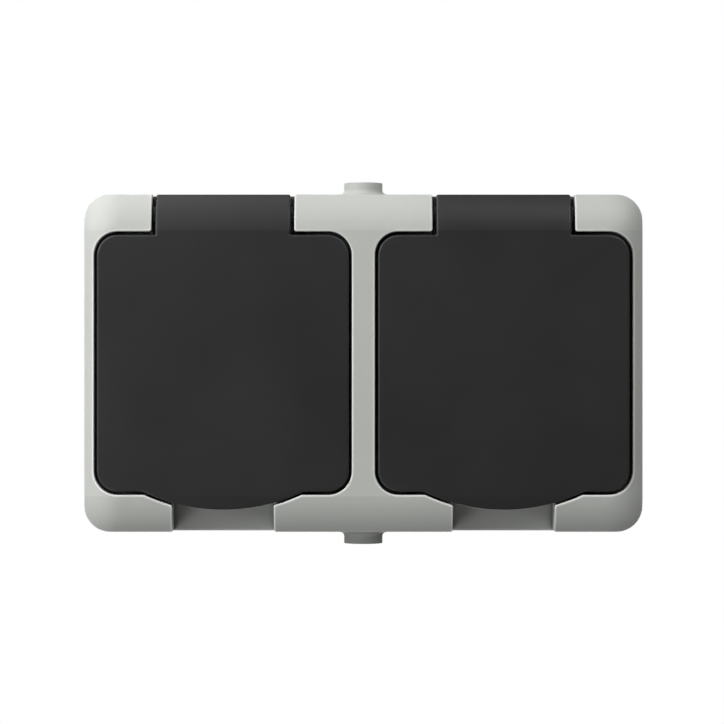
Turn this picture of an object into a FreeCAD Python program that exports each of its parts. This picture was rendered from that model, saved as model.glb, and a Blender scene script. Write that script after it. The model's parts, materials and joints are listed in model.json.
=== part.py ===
import FreeCAD, Part
import math
import os
import Sketcher
from FreeCAD import Vector

# Two-gang surface-mounted weatherproof socket, millimetres.
# +X to the right, +Z up, the wall is the plane Y = 0 and the front looks along -Y.
# "Depth" below is the distance from the wall, so depth d lies at Y = -d.
# The origin is the middle of the back face.

doc = FreeCAD.newDocument("weatherproof_socket")

# ---------------------------------------------------------------- driving sizes
SIZES = [
    # housing
    ("width", 141.6), ("height", 85.6), ("depth", 60.0), ("corner", 6.5),
    ("spacing", 71.0), ("split", 30.0), ("wall", 3.0), ("back", 2.5),
    ("relief", 0.8), ("edge_fine", 0.28),
    # rolled front: straight run at the end of which the surface has dropped
    ("roll_z_len", 9.2), ("roll_z_radius", 15.0), ("roll_z_over", 11.0), ("roll_z_drop", 6.37),
    ("roll_x_len", 9.0), ("roll_x_radius", 12.7), ("roll_x_over", 10.2), ("roll_x_drop", 5.13),
    # rim seal
    ("rim_out", 0.8), ("groove_wide", 1.4), ("groove_deep", 1.5), ("seal_thick", 0.8),
    ("seam_wide", 0.5), ("seam_deep", 0.45),
    # windows, decks, recesses of the front cover
    ("window_w", 65.2), ("window_z", 33.28), ("window_r", 6.0), ("deck", 54.0), ("deck_thick", 2.5),
    ("arc_z", 9.5), ("arc_gap", 0.58), ("finger_half", 12.85), ("finger_deck", 49.2), ("finger_top", 33.0),
    ("pot_hole_r", 23.2), ("collar_r", 25.4), ("collar_top", 56.0),
    ("notch_half", 18.05), ("notch_r", 6.2), ("pivot_d", 57.1), ("pivot_z", 37.6),
    # lids
    ("lid_w", 63.6), ("lid_z", 32.42), ("lid_r", 5.25), ("lid_back", 54.6), ("lid_plate", 57.4),
    ("lid_rim", 2.0), ("lid_arc_r", 46.6), ("lid_edge", 0.5), ("tongue_half", 17.05), ("barrel_r", 5.9),
    ("pin_r", 0.9), ("pin_half", 20.1), ("bore_r", 0.95), ("knuckle_r", 2.0),
    ("lidseal_in", 23.35), ("lidseal_out", 25.25), ("lidseal_low", 56.2), ("lidseal_high", 58.0),
    # screws of the housing
    ("cover_x", 62.0), ("cover_z", 26.5), ("fix_x", 46.0), ("fix_z", 33.0), ("fix_r", 2.4),
    # cable entries
    ("entry_d", 14.0), ("entry_r", 6.0), ("spigot_r", 5.1), ("spigot_end", 48.0), ("flare_r", 6.3), ("flare_up", 2.2),
    # inserts
    ("insert_z", 27.0), ("carrier_d", 11.0), ("carrier_front", 35.6), ("carrier_half_x", 22.0),
    ("carrier_half_z", 20.0), ("core_half", 14.2), ("plate_d", 15.6),
    ("pot_floor", 38.1), ("pot_r", 19.7), ("pot_out", 21.9), ("pot_rim_r", 23.0), ("pot_rim", 55.6),
    ("pin_pitch", 19.0), ("pinhole_r", 2.75), ("sleeve_in", 2.45), ("sleeve_out", 3.4),
    ("bow_half", 3.5), ("bow_thick", 0.8), ("bow_d", 32.6), ("bow_z", 21.6), ("bow_top", 50.2),
    ("link_d", 20.0), ("link_z", 22.0), ("link_r", 1.3), ("terminal_x", 18.0), ("earth_z", 15.5),
]
sheet = doc.addObject("Spreadsheet::Sheet", "sizes")
for row, (alias, number) in enumerate(SIZES, 1):
    sheet.set("A%d" % row, alias)
    sheet.set("B%d" % row, repr(number))
    sheet.setAlias("B%d" % row, alias)
doc.recompute()


class Size:
    """A number from the sheet together with the expression that gives it."""

    def __init__(self, value, text):
        self.value = float(value)
        self.text = text

    def _pair(self, other, sign, value, swap=False):
        a, b = (txt(other), self.text) if swap else (self.text, txt(other))
        return Size(value, "(%s %s %s)" % (a, sign, b))

    def __add__(self, o):
        return self._pair(o, "+", self.value + val(o))

    def __radd__(self, o):
        return self._pair(o, "+", self.value + val(o), True)

    def __sub__(self, o):
        return self._pair(o, "-", self.value - val(o))

    def __rsub__(self, o):
        return self._pair(o, "-", val(o) - self.value, True)

    def __mul__(self, o):
        return self._pair(o, "*", self.value * val(o))

    def __rmul__(self, o):
        return self._pair(o, "*", self.value * val(o), True)

    def __truediv__(self, o):
        return self._pair(o, "/", self.value / val(o))

    def __neg__(self):
        return Size(-self.value, "(-1 * %s)" % self.text)


def val(q):
    return q.value if isinstance(q, Size) else float(q)


def txt(q):
    if isinstance(q, Size):
        return q.text
    return "(-1 * %.6f)" % -q if q < 0 else "%.6f" % q


class Sheet:
    pass


S = Sheet()
for alias, number in SIZES:
    setattr(S, alias, Size(float(sheet.get(alias)), "sizes." + alias))


def bind(obj, prop, q):
    """Drive a property from the sheet, or give it a plain number."""
    obj.setExpression(prop, txt(q))


# ---------------------------------------------------------------- sketches and bodies
class Plan:
    """A sketch on one of its own body's origin planes, every corner driven."""

    def __init__(self, body, role, name, offset=0.0):
        self.o = body.newObject("Sketcher::SketchObject", name)
        base = [f for f in body.Origin.OriginFeatures if f.Role == role][0]
        self.o.AttachmentSupport = [(base, "")]
        self.o.MapMode = "FlatFace"
        bind(self.o, "AttachmentOffset.Base.z", offset)
        self.geo, self.con, self.exp = [], [], []

    def _pin(self, g, pos, x, y):
        for kind, q in (("DistanceX", x), ("DistanceY", y)):
            self.con.append(Sketcher.Constraint(kind, -1, 1, g, pos, val(q)))
            if isinstance(q, Size):
                self.exp.append((len(self.con) - 1, q.text))

    def _radius(self, g, r):
        self.con.append(Sketcher.Constraint("Radius", g, val(r)))
        if isinstance(r, Size):
            self.exp.append((len(self.con) - 1, r.text))

    def chain(self, pts):
        """Closed outline. A point (x, y) ends a line; (x, y, r) ends an arc of
        radius |r| that turns left for r > 0 and right for r < 0."""
        n = len(pts)
        ends = []
        for i in range(n):
            p, q = pts[i - 1], pts[i]
            a = Vector(val(p[0]), val(p[1]), 0)
            b = Vector(val(q[0]), val(q[1]), 0)
            g = len(self.geo)
            if len(q) == 2:
                self.geo.append(Part.LineSegment(a, b))
                ends.append((g, 1, 2))
            else:
                r = abs(val(q[2]))
                left = val(q[2]) > 0
                mid, half = (a + b) * 0.5, (b - a).Length / 2
                nrm = Vector(-(b - a).y, (b - a).x, 0).normalize()
                c = mid + nrm * (math.sqrt(max(r * r - half * half, 0)) * (1 if left else -1))
                ta = math.atan2(a.y - c.y, a.x - c.x)
                tb = math.atan2(b.y - c.y, b.x - c.x)
                circle = Part.Circle(c, Vector(0, 0, 1), r)
                if left:
                    self.geo.append(Part.ArcOfCircle(circle, ta, tb if tb > ta else tb + 2 * math.pi))
                    ends.append((g, 1, 2))
                else:
                    self.geo.append(Part.ArcOfCircle(circle, tb, ta if ta > tb else ta + 2 * math.pi))
                    ends.append((g, 2, 1))
                self._radius(g, q[2] if left else -q[2])
        for i in range(n):
            g, _, e = ends[i]
            g2, s2, _ = ends[(i + 1) % n]
            self.con.append(Sketcher.Constraint("Coincident", g, e, g2, s2))
            self._pin(g, e, pts[i][0], pts[i][1])
        return self

    def rect(self, x0, x1, y0, y1):
        return self.chain([(x0, y0), (x1, y0), (x1, y1), (x0, y1)])

    def rounded_rect(self, x0, x1, y0, y1, r):
        return self.chain([(x1 - r, y0), (x1, y0 + r, r), (x1, y1 - r), (x1 - r, y1, r),
                           (x0 + r, y1), (x0, y1 - r, r), (x0, y0 + r), (x0 + r, y0, r)])

    def circle(self, x, y, r):
        g = len(self.geo)
        self.geo.append(Part.Circle(Vector(val(x), val(y), 0), Vector(0, 0, 1), val(r)))
        self._pin(g, 3, x, y)
        self._radius(g, r)
        return self

    def done(self):
        self.o.addGeometry(self.geo, False)
        self.o.addConstraint(self.con)
        for i, text in self.exp:
            self.o.setExpression("Constraints[%d]" % i, text)
        return self.o


def new_body(name):
    body = doc.addObject("PartDesign::Body", name)
    body.Label = name
    return body


def feature(body, kind, name, sketch, length=None):
    f = body.newObject("PartDesign::" + kind, name)
    f.Profile = sketch
    sketch.Visibility = False
    if length is not None:
        bind(f, "Length", length)
    return f


def pad(body, name, plan, length):
    return feature(body, "Pad", name, plan.done(), length)


def pocket(body, name, plan, length):
    """Cuts from the sketch plane back towards the wall."""
    return feature(body, "Pocket", name, plan.done(), length)


def turned(body, name, plan, kind="Revolution"):
    f = feature(body, kind, name, plan.done())
    f.ReferenceAxis = (f.Profile[0], ["V_Axis"])
    f.Angle = 360.0
    return f


def along_y(edge):
    if edge.Curve.TypeId != "Part::GeomLine":
        return False
    return abs(edge.tangentAt(edge.FirstParameter).y) > 0.99


def soften(body, name, base, radius, pick, kind="Fillet"):
    """Rounds the picked edges of the feature before it."""
    doc.recompute()
    names = ["Edge%d" % (i + 1) for i, e in enumerate(base.Shape.Edges) if pick(e)]
    f = body.newObject("PartDesign::" + kind, name)
    f.Base = (base, names)
    bind(f, "Radius" if kind == "Fillet" else "Size", radius)
    return f


# ---------------------------------------------------------------- plain solids and booleans
def box(name, x0, x1, d0, d1, z0, z1):
    o = doc.addObject("Part::Box", name)
    bind(o, "Length", x1 - x0)
    bind(o, "Width", d1 - d0)
    bind(o, "Height", z1 - z0)
    bind(o, "Placement.Base.x", x0)
    bind(o, "Placement.Base.y", -1 * d1)
    bind(o, "Placement.Base.z", z0)
    return o


def ycyl(name, x, z, r, d0, d1):
    """Cylinder square to the wall, from depth d0 to d1."""
    o = doc.addObject("Part::Cylinder", name)
    o.Placement = FreeCAD.Placement(Vector(0, 0, 0), FreeCAD.Rotation(Vector(1, 0, 0), 90))
    bind(o, "Radius", r)
    bind(o, "Height", d1 - d0)
    bind(o, "Placement.Base.x", x)
    bind(o, "Placement.Base.y", -1 * d0)
    bind(o, "Placement.Base.z", z)
    return o


def xcyl(name, x0, x1, d, z, r):
    o = doc.addObject("Part::Cylinder", name)
    o.Placement = FreeCAD.Placement(Vector(0, 0, 0), FreeCAD.Rotation(Vector(0, 1, 0), 90))
    bind(o, "Radius", r)
    bind(o, "Height", x1 - x0)
    bind(o, "Placement.Base.x", x0)
    bind(o, "Placement.Base.y", -1 * d)
    bind(o, "Placement.Base.z", z)
    return o


def zcyl(name, x, d, r, z0, z1):
    o = doc.addObject("Part::Cylinder", name)
    bind(o, "Radius", r)
    bind(o, "Height", z1 - z0)
    bind(o, "Placement.Base.x", x)
    bind(o, "Placement.Base.y", -1 * d)
    bind(o, "Placement.Base.z", z0)
    return o


def fuse(name, parts):
    o = doc.addObject("Part::MultiFuse", name)
    o.Shapes = parts
    return o


def cut(name, base, tool):
    o = doc.addObject("Part::Cut", name)
    o.Base, o.Tool = base, tool
    return o


def common(name, a, b):
    o = doc.addObject("Part::Common", name)
    o.Base, o.Tool = a, b
    return o


def rounded(name, base, radius, pick):
    """Rounds the picked edges of a plain solid."""
    doc.recompute()
    o = doc.addObject("Part::Fillet", name)
    o.Base = base
    o.Edges = [(i + 1, val(radius), val(radius)) for i, e in enumerate(base.Shape.Edges) if pick(e)]
    return o


def rbox(name, x0, x1, d0, d1, z0, z1, r):
    return rounded(name, box(name + "_block", x0, x1, d0, d1, z0, z1), r, along_y)


def group(name, parts):
    o = doc.addObject("Part::Compound", name)
    o.Links = parts
    return o


HX, HZ = S.width / 2, S.height / 2
SIDES = (("left", -1), ("right", 1))

nodes = {}


def node(name, obj):
    obj.Label = name
    nodes[name] = obj
    return obj


# ---------------------------------------------------------------- rolled front surface
def roll(start, length, drop, radius, sign):
    """Quadratic arc that leaves the flat front at "start" and falls by "drop"."""
    chord = math.hypot(length, drop)
    half = math.asin(chord / 2 / radius)
    lean = math.atan2(drop, length)
    a, b = lean - half, lean + half
    cu, cv = start - radius * math.sin(a), radius * math.cos(a)
    pts = []
    for ang, rad in ((a, radius), (lean, radius / math.cos(half)), (b, radius)):
        pts.append((sign * (cu + rad * math.sin(ang)), cv - rad * math.cos(ang)))
    weights = [1.0, math.cos(half), 1.0]
    return (pts[::-1] if sign < 0 else pts), weights


def flat(half):
    return [(-half, 0.0), (0.0, 0.0), (half, 0.0)], [1.0, 1.0, 1.0]


def front_form():
    """Closed form whose front is flat in the middle and rolls off to all four
    edges: the drop at a point is the sum of the drops of its column and row."""
    xs, zs = val(HX - S.roll_x_len), val(HZ - S.roll_z_len)
    ex, dx, rx = val(S.roll_x_over), val(S.roll_x_drop), val(S.roll_x_radius)
    ez, dz, rz = val(S.roll_z_over), val(S.roll_z_drop), val(S.roll_z_radius)
    front, rear = val(S.depth), 20.0
    cols = [roll(xs, ex, dx, rx, -1), flat(xs), roll(xs, ex, dx, rx, 1)]
    rows = [roll(zs, ez, dz, rz, -1), flat(zs), roll(zs, ez, dz, rz, 1)]
    faces = []
    for pa, wa in cols:
        for pb, wb in rows:
            poles = [[Vector(a[0], -front + a[1] + b[1], b[0]) for b in pb] for a in pa]
            surf = Part.BSplineSurface()
            surf.buildFromPolesMultsKnots(poles, [3, 3], [3, 3], [0, 1], [0, 1], False, False, 2, 2,
                                          [[i * j for j in wb] for i in wa])
            faces.append(surf.toShape())

    def rib(pts, weights, place):
        c = Part.BSplineCurve()
        c.buildFromPolesMultsKnots([place(p) for p in pts], [3, 3], [0, 1], False, 2, weights)
        return c.toShape()

    X, Z = xs + ex, zs + ez
    corner = -front + dx + dz
    for s in (-1, 1):
        edges = [rib(p, w, lambda q: Vector(s * X, -front + dx + q[1], q[0])) for p, w in rows]
        loop = [Vector(s * X, corner, Z), Vector(s * X, -rear, Z), Vector(s * X, -rear, -Z), Vector(s * X, corner, -Z)]
        edges += [Part.makeLine(loop[i], loop[i + 1]) for i in range(3)]
        faces.append(Part.Face(Part.Wire(Part.__sortEdges__(edges))))
        edges = [rib(p, w, lambda q: Vector(q[0], -front + dz + q[1], s * Z)) for p, w in cols]
        loop = [Vector(X, corner, s * Z), Vector(X, -rear, s * Z), Vector(-X, -rear, s * Z), Vector(-X, corner, s * Z)]
        edges += [Part.makeLine(loop[i], loop[i + 1]) for i in range(3)]
        faces.append(Part.Face(Part.Wire(Part.__sortEdges__(edges))))
    faces.append(Part.Face(Part.makePolygon([Vector(-X, -rear, -Z), Vector(X, -rear, -Z), Vector(X, -rear, Z),
                                             Vector(-X, -rear, Z), Vector(-X, -rear, -Z)])))
    shell = Part.Shell(faces)
    shell.sewShape()
    solid = Part.Solid(shell)
    if solid.Volume < 0:
        solid.reverse()
    return solid


form = doc.addObject("Part::Feature", "front_form")
form.Shape = front_form()
form.Placement = FreeCAD.Placement()


def faces_front(shape, edge, reach):
    """True where a wall that is square to the wall plane meets the front surface."""
    bb = edge.BoundBox
    if -bb.YMax < reach:
        return False
    pair = shape.ancestorsOfType(edge, Part.Face)
    if len(pair) != 2:
        return False
    kinds = []
    for f in pair:
        try:
            u, v = f.Surface.parameter(edge.valueAt((edge.FirstParameter + edge.LastParameter) / 2))
            kinds.append(f.normalAt(u, v).y)
        except Exception:
            return False
    return min(abs(k) for k in kinds) < 0.05 and min(kinds) < -0.5


def upright(x, z, mirror=True):
    """Picks edges square to the wall at the given place about a socket centre."""
    def pick(e):
        if not along_y(e):
            return False
        q = e.Vertexes[0].Point
        for word, sx in SIDES:
            off = q.x - sx * val(S.spacing) / 2
            if abs(abs(off) - val(x)) < 0.06 and abs(q.z - val(z)) < 0.06:
                return True
        return False
    return pick


# ---------------------------------------------------------------- base box
base = new_body("base_box")
p = pad(base, "base_block", Plan(base, "XZ_Plane", "base_outline").rect(-HX, HX, -HZ, HZ), S.split)
p = soften(base, "base_corners", p, S.corner, along_y)
IX, IZ = HX - S.wall, HZ - S.wall
pk = pocket(base, "base_hollow", Plan(base, "XZ_Plane", "base_inside", S.split).rect(-IX, IX, -IZ, IZ), S.split - S.back)
pk = soften(base, "base_inner_corners", pk, S.corner - S.wall,
            lambda e: along_y(e) and abs(e.Vertexes[0].Point.x) > val(IX) - 0.01 and abs(e.Vertexes[0].Point.x) < val(IX) + 0.01
            and abs(abs(e.Vertexes[0].Point.z) - val(IZ)) < 0.01)
# screw bosses, insert posts and pads round the wall fixings
pl = Plan(base, "XZ_Plane", "base_boss_plan", S.back - 0.5)
for sx in (-1, 1):
    for sz in (-1, 1):
        pl.circle(sx * S.cover_x, sz * S.cover_z, 4.0)
pad(base, "base_bosses", pl, S.split - S.back + 0.5)
pl = Plan(base, "XZ_Plane", "base_rib_plan", S.back - 0.5)
for sx in (-1, 1):
    for sz in (-1, 1):
        xa, xb = (IX - 3.2, IX + 0.5) if sx > 0 else (-IX - 0.5, -IX + 3.2)
        pl.rect(xa, xb, sz * S.cover_z - 0.9, sz * S.cover_z + 0.9)
pad(base, "base_ribs", pl, S.split - S.back - 2.0)
pl = Plan(base, "XZ_Plane", "base_post_plan", S.back - 0.5)
for sx in (-1, 1):
    for sz in (-1, 1):
        pl.circle(sx * S.spacing / 2, sz * S.insert_z, 3.5)
pad(base, "base_posts", pl, S.carrier_d - S.back + 0.5)
pl = Plan(base, "XZ_Plane", "base_pad_plan", S.back - 0.5)
for sx in (-1, 1):
    for sz in (-1, 1):
        pl.circle(sx * S.fix_x, sz * S.fix_z, 5.0)
pad(base, "base_pads", pl, 2.0)
# pilot holes
pl = Plan(base, "XZ_Plane", "base_pilot_plan", S.split)
for sx in (-1, 1):
    for sz in (-1, 1):
        pl.circle(sx * S.cover_x, sz * S.cover_z, 1.5)
pocket(base, "base_pilots", pl, 14.0)
pl = Plan(base, "XZ_Plane", "base_post_pilot_plan", S.carrier_d)
for sx in (-1, 1):
    for sz in (-1, 1):
        pl.circle(sx * S.spacing / 2, sz * S.insert_z, 1.5)
pocket(base, "base_post_pilots", pl, 7.6)
pl = Plan(base, "XZ_Plane", "base_fix_plan", 6.0)
for sx in (-1, 1):
    for sz in (-1, 1):
        pl.circle(sx * S.fix_x, sz * S.fix_z, S.fix_r)
pocket(base, "base_fixings", pl, 7.0)
# shallow relief in the back face, clear of the fixings
pl = Plan(base, "XZ_Plane", "base_relief_plan", S.relief)
pl.rect(-HX + 7.0, HX - 7.0, -24.0, 24.0)
pl2 = pocket(base, "base_relief", pl, S.relief + 1.0)
# groove for the rim seal
GO, GI = S.rim_out, S.rim_out + S.groove_wide
pl = Plan(base, "XZ_Plane", "base_groove_plan", S.split)
pl.rounded_rect(-HX + GO, HX - GO, -HZ + GO, HZ - GO, S.corner - GO)
pl.rounded_rect(-HX + GI, HX - GI, -HZ + GI, HZ - GI, S.corner - GI)
pocket(base, "base_groove", pl, S.groove_deep)
# cable entries through the top and bottom walls
for sz, word in ((1, "top"), (-1, "bottom")):
    pl = Plan(base, "XY_Plane", "base_entry_%s_plan" % word, HZ + 1.0 if sz > 0 else -HZ + 5.0)
    pl.circle(0.0, -S.entry_d, S.entry_r)
    pocket(base, "base_entry_" + word, pl, 6.0)
node("base_box", base)
doc.recompute()

# ---------------------------------------------------------------- rim seal
seal_out = rbox("seal_outer", -HX + GO, HX - GO, S.split - S.groove_deep, S.split - S.groove_deep + S.seal_thick,
                -HZ + GO, HZ - GO, S.corner - GO)
seal_in = rbox("seal_inner", -HX + GI, HX - GI, S.split - S.groove_deep - 1.0, S.split, -HZ + GI, HZ - GI, S.corner - GI)
node("cover_seal", cut("cover_seal", seal_out, seal_in))

# ---------------------------------------------------------------- front cover
block = new_body("cover_block")
cb = pad(block, "cover_prism", Plan(block, "XZ_Plane", "cover_outline", S.split).rect(-HX, HX, -HZ, HZ),
         S.depth - S.split + 4.0)
soften(block, "cover_corners", cb, S.corner, along_y)
skin = common("cover_skin", block, form)
cuts = []
for word, sx in SIDES:
    cx = sx * S.spacing / 2
    cuts.append(rbox("window_" + word, cx - S.window_w / 2, cx + S.window_w / 2, S.deck, S.depth + 6.0,
                     -S.window_z, S.window_z, S.window_r))
    sweep = ycyl("window_arc_round_" + word, cx, S.arc_z, S.lid_arc_r + S.arc_gap, S.deck, S.depth + 6.0)
    strip = box("window_arc_strip_" + word, cx - 23.0, cx + 23.0, S.deck - 1.0, S.depth + 7.0, -39.5, -31.0)
    cuts.append(common("window_arc_" + word, sweep, strip))
    cuts.append(box("finger_" + word, cx - S.finger_half, cx + S.finger_half, S.finger_deck, S.depth + 6.0,
                    -HZ - 2.0, -S.finger_top))
    cuts.append(xcyl("notch_round_" + word, cx - S.notch_half, cx + S.notch_half, S.pivot_d, S.pivot_z, S.notch_r))
    cuts.append(box("notch_open_" + word, cx - S.notch_half, cx + S.notch_half, S.pivot_d, S.depth + 6.0,
                    32.0, HZ + 2.0))
windowed = cut("cover_windowed", skin, fuse("cover_window_cuts", cuts))

# the corners in plan are rounded first, then every rim of the front
arc_r = S.lid_arc_r + S.arc_gap
arc_x = math.sqrt(val(arc_r) ** 2 - (val(S.arc_z) + val(S.window_z)) ** 2)
cheek_z = val(S.arc_z) - math.sqrt(val(arc_r) ** 2 - val(S.finger_half) ** 2)
c1 = rounded("cover_round_1", windowed, 0.6, upright(S.notch_half, S.window_z))
c2 = rounded("cover_round_2", c1, 0.5, upright(S.notch_half, HZ))
c3 = rounded("cover_round_3", c2, 0.9, upright(arc_x, -S.window_z))
c4 = rounded("cover_round_4", c3, 0.55, upright(S.finger_half, cheek_z))
c5 = rounded("cover_round_5", c4, 0.5, upright(S.finger_half, -HZ))
doc.recompute()

rims = rounded("cover_rims", c5, S.edge_fine, lambda e: faces_front(c5.Shape, e, 54.6))
doc.recompute()
# the lower edge of each finger recess's floor
rim = rounded("cover_rim", rims, S.edge_fine, lambda e: e.Curve.TypeId == "Part::GeomLine" and e.Length > 20.0
              and abs(e.BoundBox.YMin + val(S.finger_deck)) < 0.01 and abs(e.BoundBox.ZMin + val(HZ)) < 0.01
              and abs(e.BoundBox.ZMax + val(HZ)) < 0.01)

hollows = [
    rbox("cavity_back", -IX, IX, S.split - 1.0, 46.5, -IZ, IZ, S.corner - S.wall),
    box("cavity_deck", -IX, IX, S.split - 1.0, S.deck - S.deck_thick, -29.0, 29.0),
    box("cavity_mid", -13.5, 13.5, S.split, 53.0, -IZ, IZ),
    box("cavity_left", -IX, -57.5, S.split, 53.0, -IZ + 3.5, IZ - 3.5),
    box("cavity_right", 57.5, IX, S.split, 53.0, -IZ + 3.5, IZ - 3.5),
]
# shadow gap all round where the cover meets the base
seam_out = rbox("seam_outer", -HX - 1.0, HX + 1.0, S.split - 1.0, S.split + S.seam_wide, -HZ - 1.0, HZ + 1.0,
                S.corner + 1.0)
seam_in = rbox("seam_inner", -HX + S.seam_deep, HX - S.seam_deep, S.split - 2.0, S.split + 1.0,
               -HZ + S.seam_deep, HZ - S.seam_deep, S.corner - S.seam_deep)
hollows.append(cut("cover_seam", seam_out, seam_in))
shell = cut("cover_shell", rim, fuse("cover_cavities", hollows))

tongue_out = rbox("rim_tongue_out", -HX + GO + 0.1, HX - GO - 0.1, S.split - S.groove_deep + S.seal_thick, S.split + 1.0,
                  -HZ + GO + 0.1, HZ - GO - 0.1, S.corner - GO - 0.1)
tongue_in = rbox("rim_tongue_in", -HX + GI - 0.1, HX - GI + 0.1, S.split - S.groove_deep, S.split + 2.0,
                 -HZ + GI - 0.1, HZ - GI + 0.1, S.corner - GI + 0.1)
adds = [shell, cut("rim_tongue", tongue_out, tongue_in)]
for sx in (-1, 1):
    for sz in (-1, 1):
        adds.append(ycyl("cover_boss_%d%d" % (sx + 1, sz + 1), sx * S.cover_x, sz * S.cover_z, 4.75, S.split,
                         S.deck - S.deck_thick + 0.5))
for word, sx in SIDES:
    adds.append(ycyl("collar_" + word, sx * S.spacing / 2, 0.0, S.collar_r, S.deck - S.deck_thick, S.collar_top))
bossed = fuse("cover_bossed", adds)

cuts = []
for word, sx in SIDES:
    cx = sx * S.spacing / 2
    cuts.append(ycyl("pot_opening_" + word, cx, 0.0, S.pot_hole_r, 44.0, S.depth + 6.0))
    cuts.append(xcyl("pin_seat_" + word, cx - S.pin_half - 0.2, cx + S.pin_half + 0.2, S.pivot_d, S.pivot_z, S.pin_r))
    # the top wall is a little lower behind each hinge tongue
    cuts.append(box("notch_step_" + word, cx - S.notch_half, cx + S.notch_half, 47.0, 56.0, HZ - 0.45, HZ + 2.0))
for sx in (-1, 1):
    for sz in (-1, 1):
        tag = "%d%d" % (sx + 1, sz + 1)
        cuts.append(ycyl("cover_hole_" + tag, sx * S.cover_x, sz * S.cover_z, 1.7, S.split - 1.0, S.depth))
        cuts.append(ycyl("cover_sink_" + tag, sx * S.cover_x, sz * S.cover_z, 3.3, S.deck - 2.6, S.depth))
node("front_cover", cut("front_cover", bossed, fuse("cover_cuts", cuts)))
doc.recompute()

# ---------------------------------------------------------------- cable entry membranes
for word, sz in (("top", 1), ("bottom", -1)):
    mem = new_body("membrane_" + word)
    pl = Plan(mem, "XY_Plane", "membrane_%s_profile" % word)
    # radius against height above the middle of the housing, turned about the entry's own axis
    pts = [(0.0, S.spigot_end), (S.spigot_r - 0.15, S.spigot_end), (S.spigot_r, S.spigot_end - 0.15),
           (S.spigot_r, HZ + S.flare_up + S.flare_r - S.spigot_r), (S.flare_r, HZ + S.flare_up, S.flare_r - S.spigot_r),
           (S.flare_r + 0.3, HZ + S.flare_up - 0.3), (S.flare_r + 0.3, HZ), (S.entry_r, HZ),
           (S.entry_r, IZ), (7.5, IZ), (7.5, IZ - 1.4), (4.0, IZ - 1.4), (4.0, S.spigot_end - 1.1),
           (0.0, S.spigot_end - 1.1)]
    turned(mem, "membrane_%s_form" % word, pl.chain(pts))
    turn = 90 if sz > 0 else -90
    mem.Placement = FreeCAD.Placement(Vector(0, 0, 0), FreeCAD.Rotation(Vector(1, 0, 0), turn))
    bind(mem, "Placement.Base.y", -S.entry_d)
    node("membrane_" + word, mem)

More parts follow.
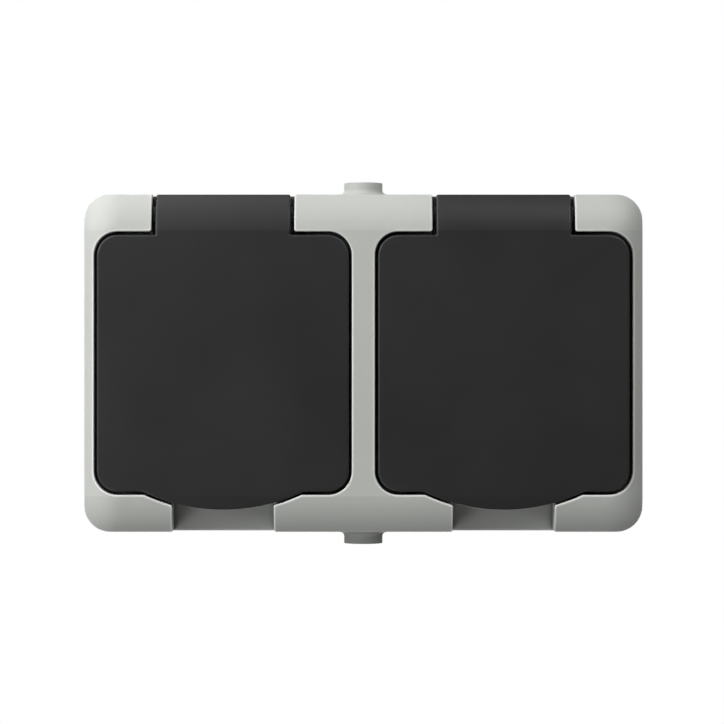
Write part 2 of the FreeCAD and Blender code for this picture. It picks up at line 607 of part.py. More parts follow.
# ---------------------------------------------------------------- lids
lip = S.arc_z
for word, sx in SIDES:
    cx = sx * S.spacing / 2
    # side profile of the lid: flat front that rolls off above and below
    prof = new_body("lid_profile_" + word)
    zs = HZ - S.roll_z_len
    pl = Plan(prof, "YZ_Plane", "lid_side_" + word, cx - S.lid_w / 2 - 1.0)
    pl.chain([(-S.depth, -zs), (-S.depth + S.roll_z_drop, -zs - S.roll_z_over, S.roll_z_radius),
              (-40.0, -zs - S.roll_z_over), (-40.0, zs + S.roll_z_over),
              (-S.depth + S.roll_z_drop, zs + S.roll_z_over), (-S.depth, zs, S.roll_z_radius)])
    pad(prof, "lid_side_run_" + word, pl, S.lid_w + 2.0)
    slab = rbox("lid_slab_" + word, cx - S.lid_w / 2, cx + S.lid_w / 2, S.lid_back, S.depth + 3.0,
                -S.lid_z, S.lid_z, S.lid_r)
    arc = common("lid_arc_" + word,
                 ycyl("lid_arc_round_" + word, cx, S.arc_z, S.lid_arc_r, S.lid_back, S.depth + 3.0),
                 box("lid_arc_strip_" + word, cx - 23.0, cx + 23.0, S.lid_back - 1.0, S.depth + 4.0, -39.5, -26.0))
    top = box("lid_tongue_" + word, cx - S.tongue_half, cx + S.tongue_half, S.pivot_d, S.depth + 3.0, 28.0, HZ)
    barrel = common("lid_barrel_" + word,
                    xcyl("lid_barrel_round_" + word, cx - S.tongue_half, cx + S.tongue_half, S.pivot_d, S.pivot_z, S.barrel_r),
                    box("lid_barrel_keep_" + word, cx - S.tongue_half, cx + S.tongue_half, 48.0, S.depth + 3.0, 36.4, HZ))
    outer = common("lid_outer_" + word, fuse("lid_solid_" + word, [slab, arc, top, barrel]), prof)
    doc.recompute()
    lid_arc_x = math.sqrt(val(S.lid_arc_r) ** 2 - (val(S.arc_z) + val(S.lid_z)) ** 2)
    l1 = rounded("lid_round_1_" + word, outer, 0.25, upright(S.tongue_half, S.lid_z))
    l2 = rounded("lid_round_2_" + word, l1, 0.6, upright(S.tongue_half, HZ))
    l3 = rounded("lid_round_3_" + word, l2, 1.5, upright(lid_arc_x, -S.lid_z))
    doc.recompute()
    soft = rounded("lid_soft_" + word, l3, S.lid_edge, lambda e: faces_front(l3.Shape, e, 55.0))
    # inside: shallow tray with a rim, lip relief, barrel hollow and spring pocket
    tray = rbox("lid_tray_" + word, cx - S.lid_w / 2 + S.lid_rim, cx + S.lid_w / 2 - S.lid_rim, S.lid_back - 1.0,
                S.lid_plate, -S.lid_z + S.lid_rim, S.lid_z - S.lid_rim, S.lid_r - 2.0)
    tray_arc = common("lid_tray_arc_" + word,
                      ycyl("lid_tray_round_" + word, cx, S.arc_z, S.lid_arc_r - S.lid_rim, S.lid_back - 1.0, S.lid_plate),
                      box("lid_tray_strip_" + word, cx - 15.0, cx + 15.0, S.lid_back - 2.0, S.depth, -38.0, -28.0))
    hollow = box("lid_hollow_" + word, cx - 14.0, cx + 14.0, 52.8, 56.1, 34.0, 39.9)
    under = box("lid_under_" + word, cx - 14.0, cx + 14.0, 47.0, S.lid_plate, 30.0, 36.5)
    ring = cut("lid_ring_seat_" + word,
               ycyl("lid_ring_out_" + word, cx, 0.0, S.lidseal_out, S.lid_plate - 1.0, S.lidseal_high),
               ycyl("lid_ring_in_" + word, cx, 0.0, S.lidseal_in, S.lid_plate - 2.0, S.depth))
    hol = cut("lid_hollowed_" + word, soft, fuse("lid_cuts_" + word, [tray, tray_arc, hollow, under]))
    # ribs that hold the ring seal, knuckles that carry the pin
    rib = [hol]
    for tag, r0, r1 in (("a", S.lidseal_in - 1.4, S.lidseal_in), ("b", S.lidseal_out, S.lidseal_out + 1.3)):
        rib.append(cut("lid_ridge_%s_%s" % (tag, word),
                       ycyl("lid_ridge_out_%s_%s" % (tag, word), cx, 0.0, r1, S.lid_plate - 0.9, S.lid_plate + 0.5),
                       ycyl("lid_ridge_in_%s_%s" % (tag, word), cx, 0.0, r0, S.lid_plate - 2.0, S.lid_plate + 1.0)))
    for k, (a, b) in enumerate(((-14.5, -12.0), (-8.0, -5.0), (5.0, 8.0), (12.0, 14.5))):
        rib.append(common("lid_knuckle_%d_%s" % (k, word),
                          xcyl("lid_knuckle_round_%d_%s" % (k, word), cx + a, cx + b, S.pivot_d, S.pivot_z, S.knuckle_r),
                          box("lid_knuckle_keep_%d_%s" % (k, word), cx + a - 1.0, cx + b + 1.0, 50.0, S.pivot_d + 0.9,
                              30.0, 42.0)))
    # short bosses that centre the tongue between the cheeks of the notch
    for k, (a, b) in enumerate(((-S.tongue_half - 0.6, -S.tongue_half + 0.6), (S.tongue_half - 0.6, S.tongue_half + 0.6))):
        rib.append(common("lid_boss_%d_%s" % (k, word),
                          xcyl("lid_boss_round_%d_%s" % (k, word), cx + a, cx + b, S.pivot_d, S.pivot_z, S.knuckle_r),
                          box("lid_boss_keep_%d_%s" % (k, word), cx + a - 1.0, cx + b + 1.0, 50.0, S.pivot_d + 0.9,
                              30.0, 42.0)))
    ribbed = fuse("lid_ribbed_" + word, rib)
    last = fuse("lid_bores_" + word, [
        ring,
        xcyl("lid_bore_" + word, cx - S.tongue_half - 1.0, cx + S.tongue_half + 1.0, S.pivot_d, S.pivot_z, S.bore_r),
        xcyl("lid_spring_room_" + word, cx - 5.0, cx + 5.0, S.pivot_d, S.pivot_z, 1.65)])
    node("lid_" + word, cut("lid_" + word, ribbed, last))

    # ring seal in the lid, hinge pin in the cover
    node("lid_seal_" + word, cut("lid_seal_" + word,
         ycyl("lid_seal_out_" + word, cx, 0.0, S.lidseal_out, S.lidseal_low, S.lidseal_high),
         ycyl("lid_seal_in_" + word, cx, 0.0, S.lidseal_in, S.lidseal_low - 1.0, S.lidseal_high + 1.0)))
    node("hinge_pin_" + word, xcyl("hinge_pin_" + word, cx - S.pin_half, cx + S.pin_half, S.pivot_d, S.pivot_z, S.pin_r))


# ---------------------------------------------------------------- coil springs
def coil(radius, wire, pitch, turns, steps, sides):
    """Wire wound about the z axis from z = 0: flat facets between rings of points along the helix."""
    count = int(round(turns * steps))
    points, facets = [], []
    for k in range(count + 1):
        a = 2 * math.pi * turns * k / count
        middle = Vector(radius * math.cos(a), radius * math.sin(a), pitch * turns * k / count)
        along = Vector(-radius * math.sin(a), radius * math.cos(a), pitch / (2 * math.pi))
        along.normalize()
        inward = Vector(-math.cos(a), -math.sin(a), 0)
        across = along.cross(inward)
        for j in range(sides):
            b = 2 * math.pi * j / sides
            points.append(middle + inward * (wire * math.cos(b)) + across * (wire * math.sin(b)))
    for k in range(count):
        for j in range(sides):
            p, q = k * sides + j, k * sides + (j + 1) % sides
            facets += [(p, q, p + sides), (q, q + sides, p + sides)]
    for j in range(1, sides - 1):
        facets += [(0, j + 1, j), (count * sides, count * sides + j, count * sides + j + 1)]
    faces = Part.Shape()
    faces.makeShapeFromMesh((points, facets), 0.0001)
    solid = Part.Solid(Part.Shell(faces.Faces))
    if solid.Volume < 0:
        solid.reverse()
    return solid


for word, sx in SIDES:
    cx = val(sx * S.spacing / 2)
    spring = doc.addObject("Part::Feature", "lid_spring_" + word)
    spring.Shape = coil(1.28, 0.2, 0.56, 12.0, 12, 6)
    spring.Placement = FreeCAD.Placement(Vector(cx - 3.36, -val(S.pivot_d), val(S.pivot_z)),
                                         FreeCAD.Rotation(Vector(0, 1, 0), 90))
    node("lid_spring_" + word, spring)

# ---------------------------------------------------------------- the two inserts
screws_pot, screws_insert, screws_terminal = [], [], []


def screw(name, x, z, shank_r, tip, seat, head_r, head_top, slot=0.7):
    """Cylinder-head screw square to the wall, with a crossed drive."""
    solid = fuse(name + "_turned", [ycyl(name + "_shank", x, z, shank_r, tip, seat + 0.2),
                                    ycyl(name + "_head", x, z, head_r, seat, head_top)])
    arm = 0.72 * val(head_r)
    drive = fuse(name + "_drive", [box(name + "_slot_a", x - arm, x + arm, head_top - 0.9, head_top + 1.0, z - slot / 2, z + slot / 2),
                                   box(name + "_slot_b", x - slot / 2, x + slot / 2, head_top - 0.9, head_top + 1.0, z - arm, z + arm)])
    return cut(name, solid, drive)


for word, sx in SIDES:
    cx = sx * S.spacing / 2

    # pot with the round recess
    pot = new_body("socket_pot_" + word)
    pl = Plan(pot, "XY_Plane", "pot_profile_" + word)
    pl.chain([(0.0, -S.carrier_front), (0.0, -S.pot_floor), (S.pot_r, -S.pot_floor), (S.pot_r, -S.pot_rim + 0.6),
              (S.pot_r + 0.6, -S.pot_rim), (S.pot_rim_r - 0.3, -S.pot_rim), (S.pot_rim_r, -S.pot_rim + 0.3),
              (S.pot_rim_r, -S.deck), (S.pot_out, -S.deck), (S.pot_out, -S.carrier_front)])
    turned(pot, "pot_turned_" + word, pl)
    pl = Plan(pot, "XZ_Plane", "pot_guides_plan_" + word, S.pot_floor - 0.5)
    for s in (-1, 1):
        xa, xb = (S.pot_r - 2.4, S.pot_r + 0.8) if s > 0 else (-S.pot_r - 0.8, -S.pot_r + 2.4)
        pl.rect(xa, xb, -2.3, 2.3)
    pad(pot, "pot_guides_" + word, pl, 15.0)
    pad(pot, "pot_spigot_" + word, Plan(pot, "XZ_Plane", "pot_spigot_plan_" + word, 33.5).circle(0.0, 0.0, 2.8), 2.6)
    pl = Plan(pot, "XZ_Plane", "pot_pin_plan_" + word, S.pot_floor + 1.0)
    pl.circle(-S.pin_pitch / 2, 0.0, S.pinhole_r).circle(S.pin_pitch / 2, 0.0, S.pinhole_r)
    pocket(pot, "pot_pin_holes_" + word, pl, 8.0)
    pl = Plan(pot, "XZ_Plane", "pot_slot_plan_" + word, S.bow_top + 0.8)
    for s in (-1, 1):
        za, zb = (S.pot_r - 0.9, S.pot_rim_r + 1.0) if s > 0 else (-S.pot_rim_r - 1.0, -S.pot_r + 0.9)
        pl.rect(-S.bow_half - 0.3, S.bow_half + 0.3, za, zb)
    pocket(pot, "pot_slots_" + word, pl, 16.0)
    pocket(pot, "pot_screw_hole_" + word, Plan(pot, "XZ_Plane", "pot_screw_plan_" + word, 40.0).circle(0.0, 0.0, 1.7), 8.0)
    pocket(pot, "pot_screw_sink_" + word, Plan(pot, "XZ_Plane", "pot_sink_plan_" + word, 40.0).circle(0.0, 0.0, 3.8), 3.1)
    ringp = Plan(pot, "XZ_Plane", "pot_spring_plan_" + word, 37.0)
    ringp.circle(0.0, 0.0, 4.5).circle(0.0, 0.0, 5.9)
    ps = pocket(pot, "pot_spring_groove_" + word, ringp, 2.0)
    doc.recompute()
    rims = [e for e in ps.Shape.Edges if e.Curve.TypeId == "Part::GeomCircle" and abs(e.Curve.Radius - val(S.pinhole_r)) < 0.01
            and abs(-e.Curve.Center.y - val(S.pot_floor)) < 0.01]
    ch = pot.newObject("PartDesign::Chamfer", "pot_pin_entry_" + word)
    ch.Base = (ps, ["Edge%d" % (i + 1) for i, e in enumerate(ps.Shape.Edges) if any(e.isSame(q) for q in rims)])
    ch.Size = 0.6
    bind(pot, "Placement.Base.x", cx)
    node("socket_pot_" + word, pot)

    # touch-protection shutter, turns about the spigot on the pot's back
    shutter = new_body("shutter_" + word)
    pl = Plan(shutter, "XZ_Plane", "shutter_wing_plan_" + word, 33.75)
    pl.chain([(-3.0, 2.6), (-12.45, 4.6), (-13.3, 0.0), (-12.45, -4.6), (-3.0, -2.6), (3.0, -2.6), (12.45, -4.6),
              (13.3, 0.0), (12.45, 4.6), (3.0, 2.6)])
    pad(shutter, "shutter_wings_" + word, pl, 1.7)
    pad(shutter, "shutter_hub_" + word, Plan(shutter, "XZ_Plane", "shutter_hub_plan_" + word, 33.75).circle(0.0, 0.0, 5.0), 1.7)
    pocket(shutter, "shutter_eye_" + word, Plan(shutter, "XZ_Plane", "shutter_eye_plan_" + word, 36.0).circle(0.0, 0.0, 2.85), 3.0)
    bind(shutter, "Placement.Base.x", cx)
    node("shutter_" + word, shutter)

    spring = doc.addObject("Part::Feature", "shutter_spring_" + word)
    spring.Shape = coil(5.2, 0.2, 0.45, 1.8, 24, 6)
    spring.Placement = FreeCAD.Placement(Vector(val(cx), -35.8, 0), FreeCAD.Rotation(Vector(1, 0, 0), 90))
    node("shutter_spring_" + word, spring)

    # earth bow: one bent strip with a clip at the top and the bottom of the recess
    bow = new_body("earth_bow_" + word)
    pl = Plan(bow, "YZ_Plane", "bow_side_" + word, -S.bow_half)
    t = S.bow_thick
    half = [(-S.bow_d, S.bow_z), (-S.bow_top, S.bow_z), (-S.bow_top - 0.5, S.bow_z - 2.2),
            (-S.bow_top + 0.6, S.bow_z - 4.4), (-45.0, S.bow_z - 4.9), (-42.6, S.bow_z - 3.4),
            (-42.3, S.bow_z - 3.4 + t), (-45.2, S.bow_z - 4.9 + t), (-S.bow_top + 1.1, S.bow_z - 4.4 + t),
            (-S.bow_top + 0.4, S.bow_z - 2.2), (-S.bow_top + t, S.bow_z - t), (-S.bow_d - t, S.bow_z - t)]
    pl.chain(half + [(y, -z) for y, z in half[::-1]])
    bp = pad(bow, "bow_strip_" + word, pl, 2 * S.bow_half)
    pl = Plan(bow, "XZ_Plane", "bow_hole_plan_" + word, 36.0)
    pl.circle(0.0, 0.0, 1.8).circle(0.0, S.earth_z, 1.3)
    pocket(bow, "bow_holes_" + word, pl, 5.0)
    bind(bow, "Placement.Base.x", cx)
    node("earth_bow_" + word, bow)

    # earth clamp under the bow
    clamp = cut("earth_terminal_" + word,
                box("earth_block_" + word, cx - 4.0, cx + 4.0, 24.0, S.bow_d, S.earth_z - 3.5, S.earth_z + 3.5),
                fuse("earth_block_holes_" + word, [xcyl("earth_wire_" + word, cx - 5.0, cx + 5.0, 28.0, S.earth_z, 1.6),
                                                   ycyl("earth_tap_" + word, cx, S.earth_z, 1.25, 28.0, 34.0)]))
    node("earth_terminal_" + word, clamp)
    screws_terminal.append(screw("earth_screw_" + word, cx, S.earth_z, 1.25, 29.4, S.bow_d + S.bow_thick, 2.4, 35.2))

    # contact sleeves, each with its own terminal block, live outside left
    for role, s in (("live", -1), ("neutral", 1)):
        con = new_body("%s_contact_%s" % (role, word))
        tag = "%s_%s" % (role, word)
        pl = Plan(con, "XY_Plane", "sleeve_profile_" + tag)
        pl.chain([(S.sleeve_in, -19.0), (S.sleeve_in, -32.2), (S.sleeve_in + 0.6, -33.0), (S.sleeve_out, -33.0),
                  (S.sleeve_out, -19.0)])
        turned(con, "sleeve_" + tag, pl)
        # the sleeve's own axis is the body's origin, the terminal lies outside it
        xa, xb = (-3.4, 5.3) if s > 0 else (-5.3, 3.4)
        pad(con, "contact_tail_" + tag, Plan(con, "XZ_Plane", "tail_plan_" + tag, 17.8).rect(xa, xb, -2.5, 2.5), 1.2)
        xa, xb = (5.1, 11.9) if s > 0 else (-11.9, -5.1)
        pad(con, "terminal_" + tag, Plan(con, "XZ_Plane", "terminal_plan_" + tag, S.plate_d).rect(xa, xb, -4.0, 4.0), 9.4)
        off = S.terminal_x - S.pin_pitch / 2
        pl = Plan(con, "XY_Plane", "wire_plan_" + tag, 5.0).circle(s * off, -S.link_d, 1.6)
        pocket(con, "wire_hole_" + tag, pl, 10.0)
        pl = Plan(con, "XZ_Plane", "tap_plan_" + tag, 26.0).circle(s * off, 0.0, 1.25)
        pocket(con, "tap_hole_" + tag, pl, 5.0)
        pl = Plan(con, "XZ_Plane", "slit_plan_" + tag, 34.0).rect(-0.4, 0.4, -4.0, 4.0)
        pocket(con, "slit_" + tag, pl, 11.0)
        bind(con, "Placement.Base.x", cx + s * S.pin_pitch / 2)
        node("%s_contact_%s" % (role, word), con)
        screws_terminal.append(screw("terminal_screw_" + tag, cx + s * S.terminal_x, 0.0, 1.25, 21.5, 25.0, 2.4, 27.0))

    # insulating carrier
    car = new_body("contact_carrier_" + word)
    pad(car, "carrier_plate_" + word, Plan(car, "XZ_Plane", "carrier_plate_plan_" + word, S.carrier_d)
        .rect(-S.carrier_half_x, S.carrier_half_x, -S.carrier_half_z, S.carrier_half_z), S.plate_d - S.carrier_d)
    pad(car, "carrier_core_" + word, Plan(car, "XZ_Plane", "carrier_core_plan_" + word, S.plate_d - 0.5)
        .rect(-S.core_half, S.core_half, -S.carrier_half_z, S.carrier_half_z), S.carrier_front - S.plate_d + 0.5)
    pad(car, "carrier_lugs_" + word, Plan(car, "XZ_Plane", "carrier_lug_plan_" + word, S.carrier_d)
        .rect(-4.5, 4.5, -S.insert_z - 4.5, S.insert_z + 4.5), 3.0)
    pocket(car, "shutter_room_" + word, Plan(car, "XZ_Plane", "shutter_room_plan_" + word, 37.0).circle(0.0, 0.0, 13.9), 3.4)
    pocket(car, "bow_groove_" + word, Plan(car, "XZ_Plane", "bow_groove_plan_" + word, 37.0)
           .rect(-S.bow_half - 0.2, S.bow_half + 0.2, -S.carrier_half_z - 1.0, S.carrier_half_z + 1.0), 37.0 - S.bow_d)
    pocket(car, "chambers_" + word, Plan(car, "XZ_Plane", "chamber_plan_" + word, 37.0)
           .circle(-S.pin_pitch / 2, 0.0, 4.2).circle(S.pin_pitch / 2, 0.0, 4.2), 37.0 - 17.8)
    pocket(car, "channels_" + word, Plan(car, "XZ_Plane", "channel_plan_" + word, 37.0)
           .rect(-S.core_half - 0.5, -S.pin_pitch / 2, -2.8, 2.8).rect(S.pin_pitch / 2, S.core_half + 0.5, -2.8, 2.8), 37.0 - 17.8)
    pl = Plan(car, "XZ_Plane", "carrier_pilot_plan_" + word, 34.0).circle(0.0, 0.0, 1.5)
    pocket(car, "carrier_pilot_" + word, pl, 13.0)
    pocket(car, "earth_room_" + word, Plan(car, "XZ_Plane", "earth_room_plan_" + word, 37.0)
           .rect(-4.3, 4.3, S.earth_z - 3.8, S.carrier_half_z + 1.0), 37.0 - 24.0)
    pocket(car, "earth_lead_" + word, Plan(car, "XY_Plane", "earth_lead_plan_" + word, S.carrier_half_z + 1.0)
           .rect(-S.core_half - 1.0, S.core_half + 1.0, -29.8, -26.2), S.carrier_half_z + 1.0 - (S.earth_z - 1.7))
    pocket(car, "lug_holes_" + word, Plan(car, "XZ_Plane", "lug_hole_plan_" + word, 15.0)
           .circle(0.0, -S.insert_z, 1.7).circle(0.0, S.insert_z, 1.7), 5.0)
    bind(car, "Placement.Base.x", cx)
    node("contact_carrier_" + word, car)
    screws_pot.append(screw("pot_screw_" + word, cx, 0.0, 1.5, 23.0, 36.9, 3.6, 39.2, 0.9))
    for tag, sz in (("upper", 1), ("lower", -1)):
        screws_insert.append(screw("insert_screw_%s_%s" % (tag, word), cx, sz * S.insert_z, 1.5, 4.0, 14.0, 2.9, 16.0))

node("pot_screws", group("pot_screws", screws_pot))
node("insert_screws", group("insert_screws", screws_insert))
node("terminal_screws", group("terminal_screws", screws_terminal))
node("cover_screws", group("cover_screws", [
    screw("cover_screw_%d%d" % (sx + 1, sz + 1), sx * S.cover_x, sz * S.cover_z, 1.5, 17.0, S.deck - 2.6, 3.0, S.deck - 0.2, 0.9)
    for sx in (-1, 1) for sz in (-1, 1)]))


# ---------------------------------------------------------------- links between the inserts
def link(name, x0, x1, z_end, z_run, d, bend):
    """Stiff insulated link: out of one terminal, across, and into the other."""
    r = val(S.link_r)
    y = -val(d)
    s = 1 if z_run > z_end else -1
    a, b = Vector(x0, y, z_end), Vector(x0, y, z_run - s * bend)
    c, e = Vector(x0 + bend, y, z_run), Vector(x1 - bend, y, z_run)
    f, g = Vector(x1, y, z_run - s * bend), Vector(x1, y, z_end)
    k = bend * (1 - math.sqrt(0.5))
    path = Part.Wire([Part.LineSegment(a, b).toShape(),
                      Part.Arc(b, Vector(x0 + k, y, z_run - s * k), c).toShape(),
                      Part.LineSegment(c, e).toShape(),
                      Part.Arc(e, Vector(x1 - k, y, z_run - s * k), f).toShape(),
                      Part.LineSegment(f, g).toShape()])
    ring = Part.Wire(Part.makeCircle(r, a, Vector(0, 0, 1)))
    o = doc.addObject("Part::Feature", name)
    o.Shape = path.makePipeShell([ring], True, False)
    o.Placement = FreeCAD.Placement()
    return o


h = val(S.spacing) / 2
tx = val(S.terminal_x)
node("live_link", link("live_link", -h - tx, h - tx, -2.0, -val(S.link_z), S.link_d, 4.5))
node("neutral_link", link("neutral_link", -h + tx, h + tx, 2.0, val(S.link_z), S.link_d, 4.5))
node("earth_link", xcyl("earth_link", -S.spacing / 2 + 1.5, S.spacing / 2 - 1.5, 28.0, S.earth_z, S.link_r))

# ---------------------------------------------------------------- check and write
doc.recompute()
bad = [o.Name for o in doc.Objects if "Invalid" in o.State or "Error" in o.State]
for name, obj in nodes.items():
    shape = obj.Shape
    if shape.isNull() or not shape.isValid() or not shape.Solids:
        bad.append(name)
if bad:
    raise RuntimeError("failed: " + ", ".join(bad))
os.makedirs("parts", exist_ok=True)
for name, obj in nodes.items():
    obj.Shape.exportStep("parts/%s.step" % name)
    bb = obj.Shape.BoundBox
    print("%-26s solids %d  volume %9.1f  x %.2f..%.2f  y %.2f..%.2f  z %.2f..%.2f" % (
        name, len(obj.Shape.Solids), obj.Shape.Volume, bb.XMin, bb.XMax, bb.YMin, bb.YMax, bb.ZMin, bb.ZMax))
print(len(nodes), "nodes")
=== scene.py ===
import json
import math

import bpy
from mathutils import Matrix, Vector

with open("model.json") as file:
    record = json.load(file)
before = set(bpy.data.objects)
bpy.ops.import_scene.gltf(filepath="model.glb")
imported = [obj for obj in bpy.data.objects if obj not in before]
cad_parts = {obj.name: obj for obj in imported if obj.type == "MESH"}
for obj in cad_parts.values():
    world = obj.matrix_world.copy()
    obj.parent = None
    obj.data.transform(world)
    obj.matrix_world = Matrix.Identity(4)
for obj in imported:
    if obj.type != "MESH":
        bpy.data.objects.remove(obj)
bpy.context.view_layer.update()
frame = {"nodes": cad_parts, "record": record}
nodes = frame["nodes"]


# ---------------------------------------------------------------- materials
class Tree:
    """A material's node tree with its principled shader at hand."""

    def __init__(self, name):
        self.material = bpy.data.materials.new(name)
        self.material.use_nodes = True
        self.nodes = self.material.node_tree.nodes
        self.links = self.material.node_tree.links
        self.shader = next(n for n in self.nodes if n.type == "BSDF_PRINCIPLED")
        self.place = self.nodes.new("ShaderNodeTexCoord").outputs["Object"]

    def link(self, out, into):
        self.links.new(out, into)

    def mapped(self, scale):
        """Object coordinates stretched by a factor on each axis."""
        m = self.nodes.new("ShaderNodeMapping")
        m.inputs["Scale"].default_value = scale
        self.link(self.place, m.inputs["Vector"])
        return m.outputs["Vector"]

    def noise(self, scale, detail=2.0, rough=0.5, where=None, distortion=0.0):
        n = self.nodes.new("ShaderNodeTexNoise")
        n.inputs["Scale"].default_value = scale
        n.inputs["Detail"].default_value = detail
        n.inputs["Roughness"].default_value = rough
        n.inputs["Distortion"].default_value = distortion
        self.link(where if where is not None else self.place, n.inputs["Vector"])
        return n.outputs["Fac"]

    def ramp(self, fac, stops, smooth=False):
        r = self.nodes.new("ShaderNodeValToRGB")
        r.color_ramp.interpolation = "B_SPLINE" if smooth else "LINEAR"
        while len(r.color_ramp.elements) < len(stops):
            r.color_ramp.elements.new(0.5)
        for e, (at, colour) in zip(r.color_ramp.elements, stops):
            e.position = at
            e.color = tuple(colour) + (1.0,)
        self.link(fac, r.inputs["Fac"])
        return r.outputs["Color"]

    def span(self, value, low, high, a=0.0, b=1.0):
        m = self.nodes.new("ShaderNodeMapRange")
        m.inputs["From Min"].default_value = a
        m.inputs["From Max"].default_value = b
        m.inputs["To Min"].default_value = low
        m.inputs["To Max"].default_value = high
        self.link(value, m.inputs["Value"])
        return m.outputs["Result"]

    def sums(self, parts):
        """Weighted sum of several values."""
        total = None
        for value, weight in parts:
            m = self.nodes.new("ShaderNodeMath")
            m.operation = "MULTIPLY_ADD"
            m.inputs[1].default_value = weight
            self.link(value, m.inputs[0])
            if total is None:
                m.inputs[2].default_value = 0.0
            else:
                self.link(total, m.inputs[2])
            total = m.outputs["Value"]
        return total

    def painted_corner_shade(self, colour, reach, low, start=0.3, end=0.8, own=True):
        """Painted shade: darkens a colour in narrow corners, of the piece itself or between pieces."""
        a = self.nodes.new("ShaderNodeAmbientOcclusion")
        a.only_local = own
        a.samples = 8
        a.inputs["Distance"].default_value = reach
        m = self.nodes.new("ShaderNodeVectorMath")
        m.operation = "SCALE"
        self.link(colour, m.inputs[0])
        self.link(self.span(a.outputs["AO"], low, 1.0, start, end), m.inputs["Scale"])
        return m.outputs["Vector"]

    def painted_edge_highlight(self, reach, sharp=0.74, blunt=0.93):
        """Painted highlight mask: one along the piece's own sharp convex edges and zero elsewhere."""
        a = self.nodes.new("ShaderNodeAmbientOcclusion")
        a.only_local = True
        a.inside = True
        a.samples = 12
        a.inputs["Distance"].default_value = reach
        return self.span(a.outputs["AO"], 1.0, 0.0, sharp, blunt)

    def along(self, axis):
        """Where a point of the piece lies on one axis, in metres."""
        d = self.nodes.new("ShaderNodeSeparateXYZ")
        self.link(self.place, d.inputs["Vector"])
        return d.outputs[axis]

    def product(self, a, b):
        m = self.nodes.new("ShaderNodeMath")
        m.operation = "MULTIPLY"
        self.link(a, m.inputs[0])
        self.link(b, m.inputs[1])
        return m.outputs["Value"]

    def mixed(self, a, b, share):
        m = self.nodes.new("ShaderNodeMix")
        m.data_type = "RGBA"
        self.link(share, m.inputs[0])
        self.link(a, m.inputs[6])
        if isinstance(b, tuple):
            m.inputs[7].default_value = b + (1.0,)
        else:
            self.link(b, m.inputs[7])
        return m.outputs[2]

    def bump(self, height, strength, distance):
        b = self.nodes.new("ShaderNodeBump")
        b.inputs["Strength"].default_value = strength
        b.inputs["Distance"].default_value = distance
        self.link(height, b.inputs["Height"])
        self.link(b.outputs["Normal"], self.shader.inputs["Normal"])


def tinted(colour, factor):
    return tuple(min(1.0, c * factor) for c in colour)


def moulded(name, colour, rough, swing=0.03, grain=3600.0, relief=0.000006, specular=0.5, painted_shade_low=1.0, edge_highlight_colour=None):
    """Moulded plastic with a fine spark-eroded skin, faint flow clouds and tiny specks.

    Painted highlights lighten its sharp front edges, most towards the bottom, and painted shade darkens its
    corners and the seams between pieces."""
    t = Tree(name)
    clouds = t.noise(38.0, 3.0, 0.55)
    skin = t.noise(grain, 2.0, 0.6)
    coarse = t.noise(grain * 0.33, 1.5, 0.5)
    mixed = t.sums([(clouds, 0.55), (skin, 0.28), (coarse, 0.17)])
    tone = t.ramp(mixed, [(0.3, tinted(colour, 1.0 - swing)), (0.5, colour), (0.7, tinted(colour, 1.0 + swing))])
    # painted shade: darkens the colour in the piece's own narrow corners and in the seams between pieces
    if painted_shade_low < 1.0:
        tone = t.painted_corner_shade(tone, 0.003, painted_shade_low)
        tone = t.painted_corner_shade(tone, 0.0006, 0.3, 0.35, 0.85, own=False)
    matt = t.span(t.sums([(clouds, 0.5), (skin, 0.5)]), rough - 0.05, rough + 0.05, 0.35, 0.65)
    # painted highlight: lightens the sharp convex front edges towards a near-white colour, most towards the
    # bottom, and makes them a little glossier
    if edge_highlight_colour is not None:
        edge = t.product(t.painted_edge_highlight(0.0007), t.span(t.along("Y"), 1.0, 0.0, -0.054, -0.044))
        edge = t.product(edge, t.span(t.along("Z"), 1.0, 0.6, 0.012, 0.031))
        tone = t.mixed(tone, edge_highlight_colour, edge)
        matt = t.sums([(matt, 1.0), (edge, -0.14)])
    t.link(tone, t.shader.inputs["Base Color"])
    t.link(matt, t.shader.inputs["Roughness"])
    t.shader.inputs["IOR"].default_value = 1.5
    t.shader.inputs["Specular IOR Level"].default_value = specular
    t.bump(t.sums([(skin, 0.7), (coarse, 0.3)]), 0.35, relief)
    return t.material


def rubbery(name, colour, rough=0.75, swing=0.06):
    """Soft matt rubber with a slightly cellular skin."""
    t = Tree(name)
    cells = t.nodes.new("ShaderNodeTexVoronoi")
    cells.inputs["Scale"].default_value = 2600.0
    t.link(t.place, cells.inputs["Vector"])
    clouds = t.noise(90.0, 3.0, 0.6)
    skin = t.noise(2200.0, 2.0, 0.6)
    t.link(t.ramp(t.sums([(clouds, 0.6), (skin, 0.4)]),
                  [(0.3, tinted(colour, 1.0 - swing)), (0.5, colour), (0.7, tinted(colour, 1.0 + swing))]),
           t.shader.inputs["Base Color"])
    t.link(t.span(clouds, rough - 0.07, rough + 0.07, 0.3, 0.7), t.shader.inputs["Roughness"])
    t.shader.inputs["IOR"].default_value = 1.48
    t.bump(t.sums([(cells.outputs["Distance"], 0.5), (skin, 0.5)]), 0.4, 0.000012)
    return t.material


def metal(name, colour, rough, streak=(1.0, 14.0, 1.0), swing=0.12):
    """Worked metal: drawing or stamping streaks along one axis, with a faint film of tarnish."""
    t = Tree(name)
    lines = t.noise(2600.0, 3.0, 0.65, where=t.mapped(streak))
    film = t.noise(260.0, 3.0, 0.6)
    t.link(t.ramp(t.sums([(lines, 0.45), (film, 0.55)]),
                  [(0.28, tinted(colour, 1.0 - swing)), (0.5, colour), (0.75, tinted(colour, 1.0 + swing * 0.6))]),
           t.shader.inputs["Base Color"])
    # a dull film on the metal scatters part of the light
    t.shader.inputs["Metallic"].default_value = 0.78
    t.link(t.span(t.sums([(lines, 0.6), (film, 0.4)]), rough - 0.08, rough + 0.1, 0.3, 0.7), t.shader.inputs["Roughness"])
    t.bump(lines, 0.3, 0.000008)
    return t.material


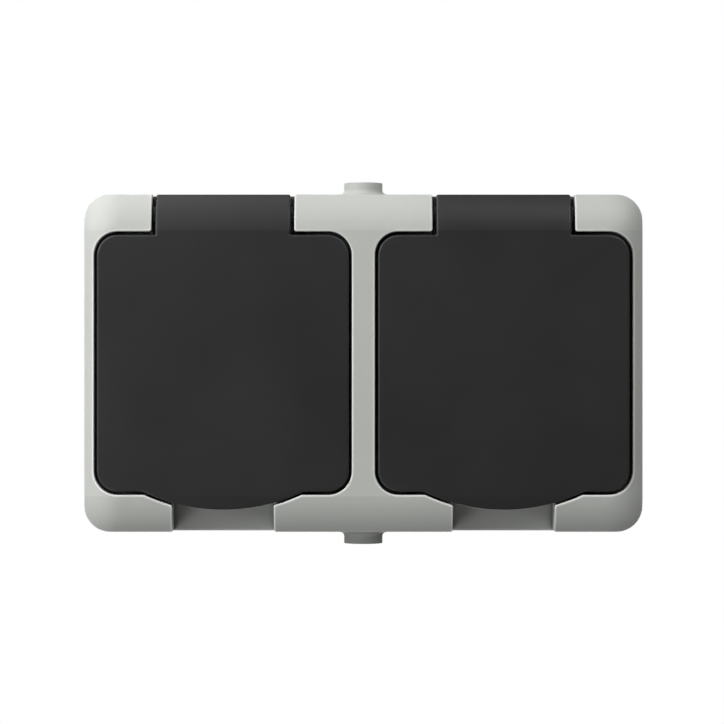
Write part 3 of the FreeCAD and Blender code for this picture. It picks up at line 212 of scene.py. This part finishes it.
LOOKS = {
    # the housing carries painted shade in corners and seams and a painted highlight along its front edges
    "housing_grey": moulded("housing_grey", (0.56, 0.575, 0.545), 0.46, painted_shade_low=0.2, edge_highlight_colour=(0.93, 0.935, 0.91)),
    "membrane_grey": rubbery("membrane_grey", (0.5, 0.515, 0.49), 0.6, 0.04),
    "lid_anthracite": moulded("lid_anthracite", (0.0243, 0.0246, 0.0251), 0.44, swing=0.1, specular=0.47),
    "pot_anthracite": moulded("pot_anthracite", (0.024, 0.0245, 0.0255), 0.4, swing=0.1, grain=3000.0),
    "seal_rubber": rubbery("seal_rubber", (0.02, 0.02, 0.021), 0.82),
    "screw_steel": metal("screw_steel", (0.62, 0.62, 0.6), 0.34, (1.0, 1.0, 9.0)),
    "spring_steel": metal("spring_steel", (0.55, 0.55, 0.54), 0.26, (12.0, 1.0, 1.0)),
    "pin_black": metal("pin_black", (0.035, 0.035, 0.036), 0.5, (14.0, 1.0, 1.0), 0.2),
    "contact_brass": metal("contact_brass", (0.72, 0.55, 0.27), 0.3, (1.0, 12.0, 1.0)),
    "bow_nickel": metal("bow_nickel", (0.66, 0.64, 0.6), 0.24, (14.0, 1.0, 1.0), 0.08),
    "carrier_beige": moulded("carrier_beige", (0.6, 0.57, 0.5), 0.6, swing=0.05, grain=2400.0),
    "shutter_white": moulded("shutter_white", (0.72, 0.71, 0.68), 0.3, swing=0.02, grain=4200.0),
    "link_brown": moulded("link_brown", (0.16, 0.07, 0.03), 0.42, swing=0.06),
    "link_blue": moulded("link_blue", (0.03, 0.1, 0.32), 0.42, swing=0.06),
    "link_green": moulded("link_green", (0.1, 0.3, 0.07), 0.42, swing=0.06),
}

slot_of = {p["node"]: p["material_slot"] for p in frame["record"]["subparts"]}
for name, thing in nodes.items():
    thing.data.materials.clear()
    thing.data.materials.append(LOOKS[slot_of[name]])


# ---------------------------------------------------------------- floor, light and camera
def floor():
    half, z = 4.0, -1.2
    mesh = bpy.data.meshes.new("floor")
    mesh.from_pydata([(-half, -half, z), (half, -half, z), (half, half, z), (-half, half, z)], [], [(0, 1, 2, 3)])
    thing = bpy.data.objects.new("floor", mesh)
    bpy.context.scene.collection.objects.link(thing)
    t = Tree("floor_paper")
    fibre = t.noise(900.0, 3.0, 0.6)
    t.link(t.ramp(fibre, [(0.3, (0.86, 0.86, 0.85)), (0.7, (0.9, 0.9, 0.89))]), t.shader.inputs["Base Color"])
    t.shader.inputs["Roughness"].default_value = 0.9
    # a pale light table, far below the object
    t.shader.inputs["Emission Color"].default_value = (1.0, 1.0, 0.99, 1.0)
    t.shader.inputs["Emission Strength"].default_value = 0.86
    t.material.cycles.emission_sampling = "NONE"
    t.bump(fibre, 0.2, 0.0001)
    mesh.materials.append(t.material)
    # it is only a ground to look at: it throws no light back at the object
    thing.visible_diffuse = False
    thing.visible_glossy = False


def area(name, place, size, power, colour=(1.0, 1.0, 1.0)):
    """A soft rectangular light that faces the middle of the object."""
    data = bpy.data.lights.new(name, "AREA")
    data.shape = "RECTANGLE"
    data.size, data.size_y = size
    data.energy = power
    data.color = colour
    thing = bpy.data.objects.new(name, data)
    bpy.context.scene.collection.objects.link(thing)
    thing.location = place
    thing.rotation_mode = "QUATERNION"
    thing.rotation_quaternion = (-Vector(place)).to_track_quat("-Z", "Y")
    thing.visible_camera = False


floor()
# soft boxes: turn to the left of the front, height angle, distance, size, power
for name, turn, rise, away, size, power in (
        ("key", 60, 20, 0.6, 0.35, 1.64),
        ("key_high", 70, 60, 0.6, 0.35, 1.25),
        ("near_high", 45, 60, 0.45, 0.35, 0.22),
        ("upper_left", 30, 30, 0.6, 0.35, 0.43),
        ("front_left", 40, 15, 0.6, 0.35, 0.34),
        ("right", -42, 40, 0.6, 0.35, 1.29),
        ("low_left", 45, -35, 0.6, 0.35, 0.92),
        ("low_right", -45, -35, 0.6, 0.35, 0.36),
        ("rear_left", 150, 25, 0.8, 0.5, 1.0),
        ("rear_right", -150, 25, 0.8, 0.5, 0.8),
        ("rear", 180, 10, 0.8, 0.4, 1.4),
        ("rear_low", 180, -42, 0.8, 0.4, 1.9)):
    t, r = math.radians(turn), math.radians(rise)
    area(name, (-away * math.sin(t) * math.cos(r), -away * math.cos(t) * math.cos(r), away * math.sin(r)),
         (size, size), power)

world = bpy.data.worlds.new("studio")
bpy.context.scene.world = world
world.use_nodes = True
wn, wl = world.node_tree.nodes, world.node_tree.links
wn.clear()
out = wn.new("ShaderNodeOutputWorld")
rays = wn.new("ShaderNodeLightPath")
seen = wn.new("ShaderNodeBackground")
seen.inputs["Color"].default_value = (1.0, 1.0, 1.0, 1.0)
seen.inputs["Strength"].default_value = 1.0
fill = wn.new("ShaderNodeBackground")
fill.inputs["Color"].default_value = (0.97, 0.985, 1.0, 1.0)
fill.inputs["Strength"].default_value = 0.0
pick = wn.new("ShaderNodeMixShader")
wl.new(rays.outputs["Is Camera Ray"], pick.inputs["Fac"])
wl.new(fill.outputs["Background"], pick.inputs[1])
wl.new(seen.outputs["Background"], pick.inputs[2])
wl.new(pick.outputs["Shader"], out.inputs["Surface"])

camera_data = bpy.data.cameras.new("camera")
camera_data.sensor_width = 36.0
camera_data.lens = 157.6
camera_data.clip_start, camera_data.clip_end = 0.01, 50.0
camera = bpy.data.objects.new("camera", camera_data)
bpy.context.scene.collection.objects.link(camera)
camera.location = (-0.00035, -0.86, 0.0003)
camera.rotation_euler = (math.pi / 2, 0.0, 0.0)
bpy.context.scene.camera = camera
bpy.context.scene.view_settings.view_transform = "Standard"
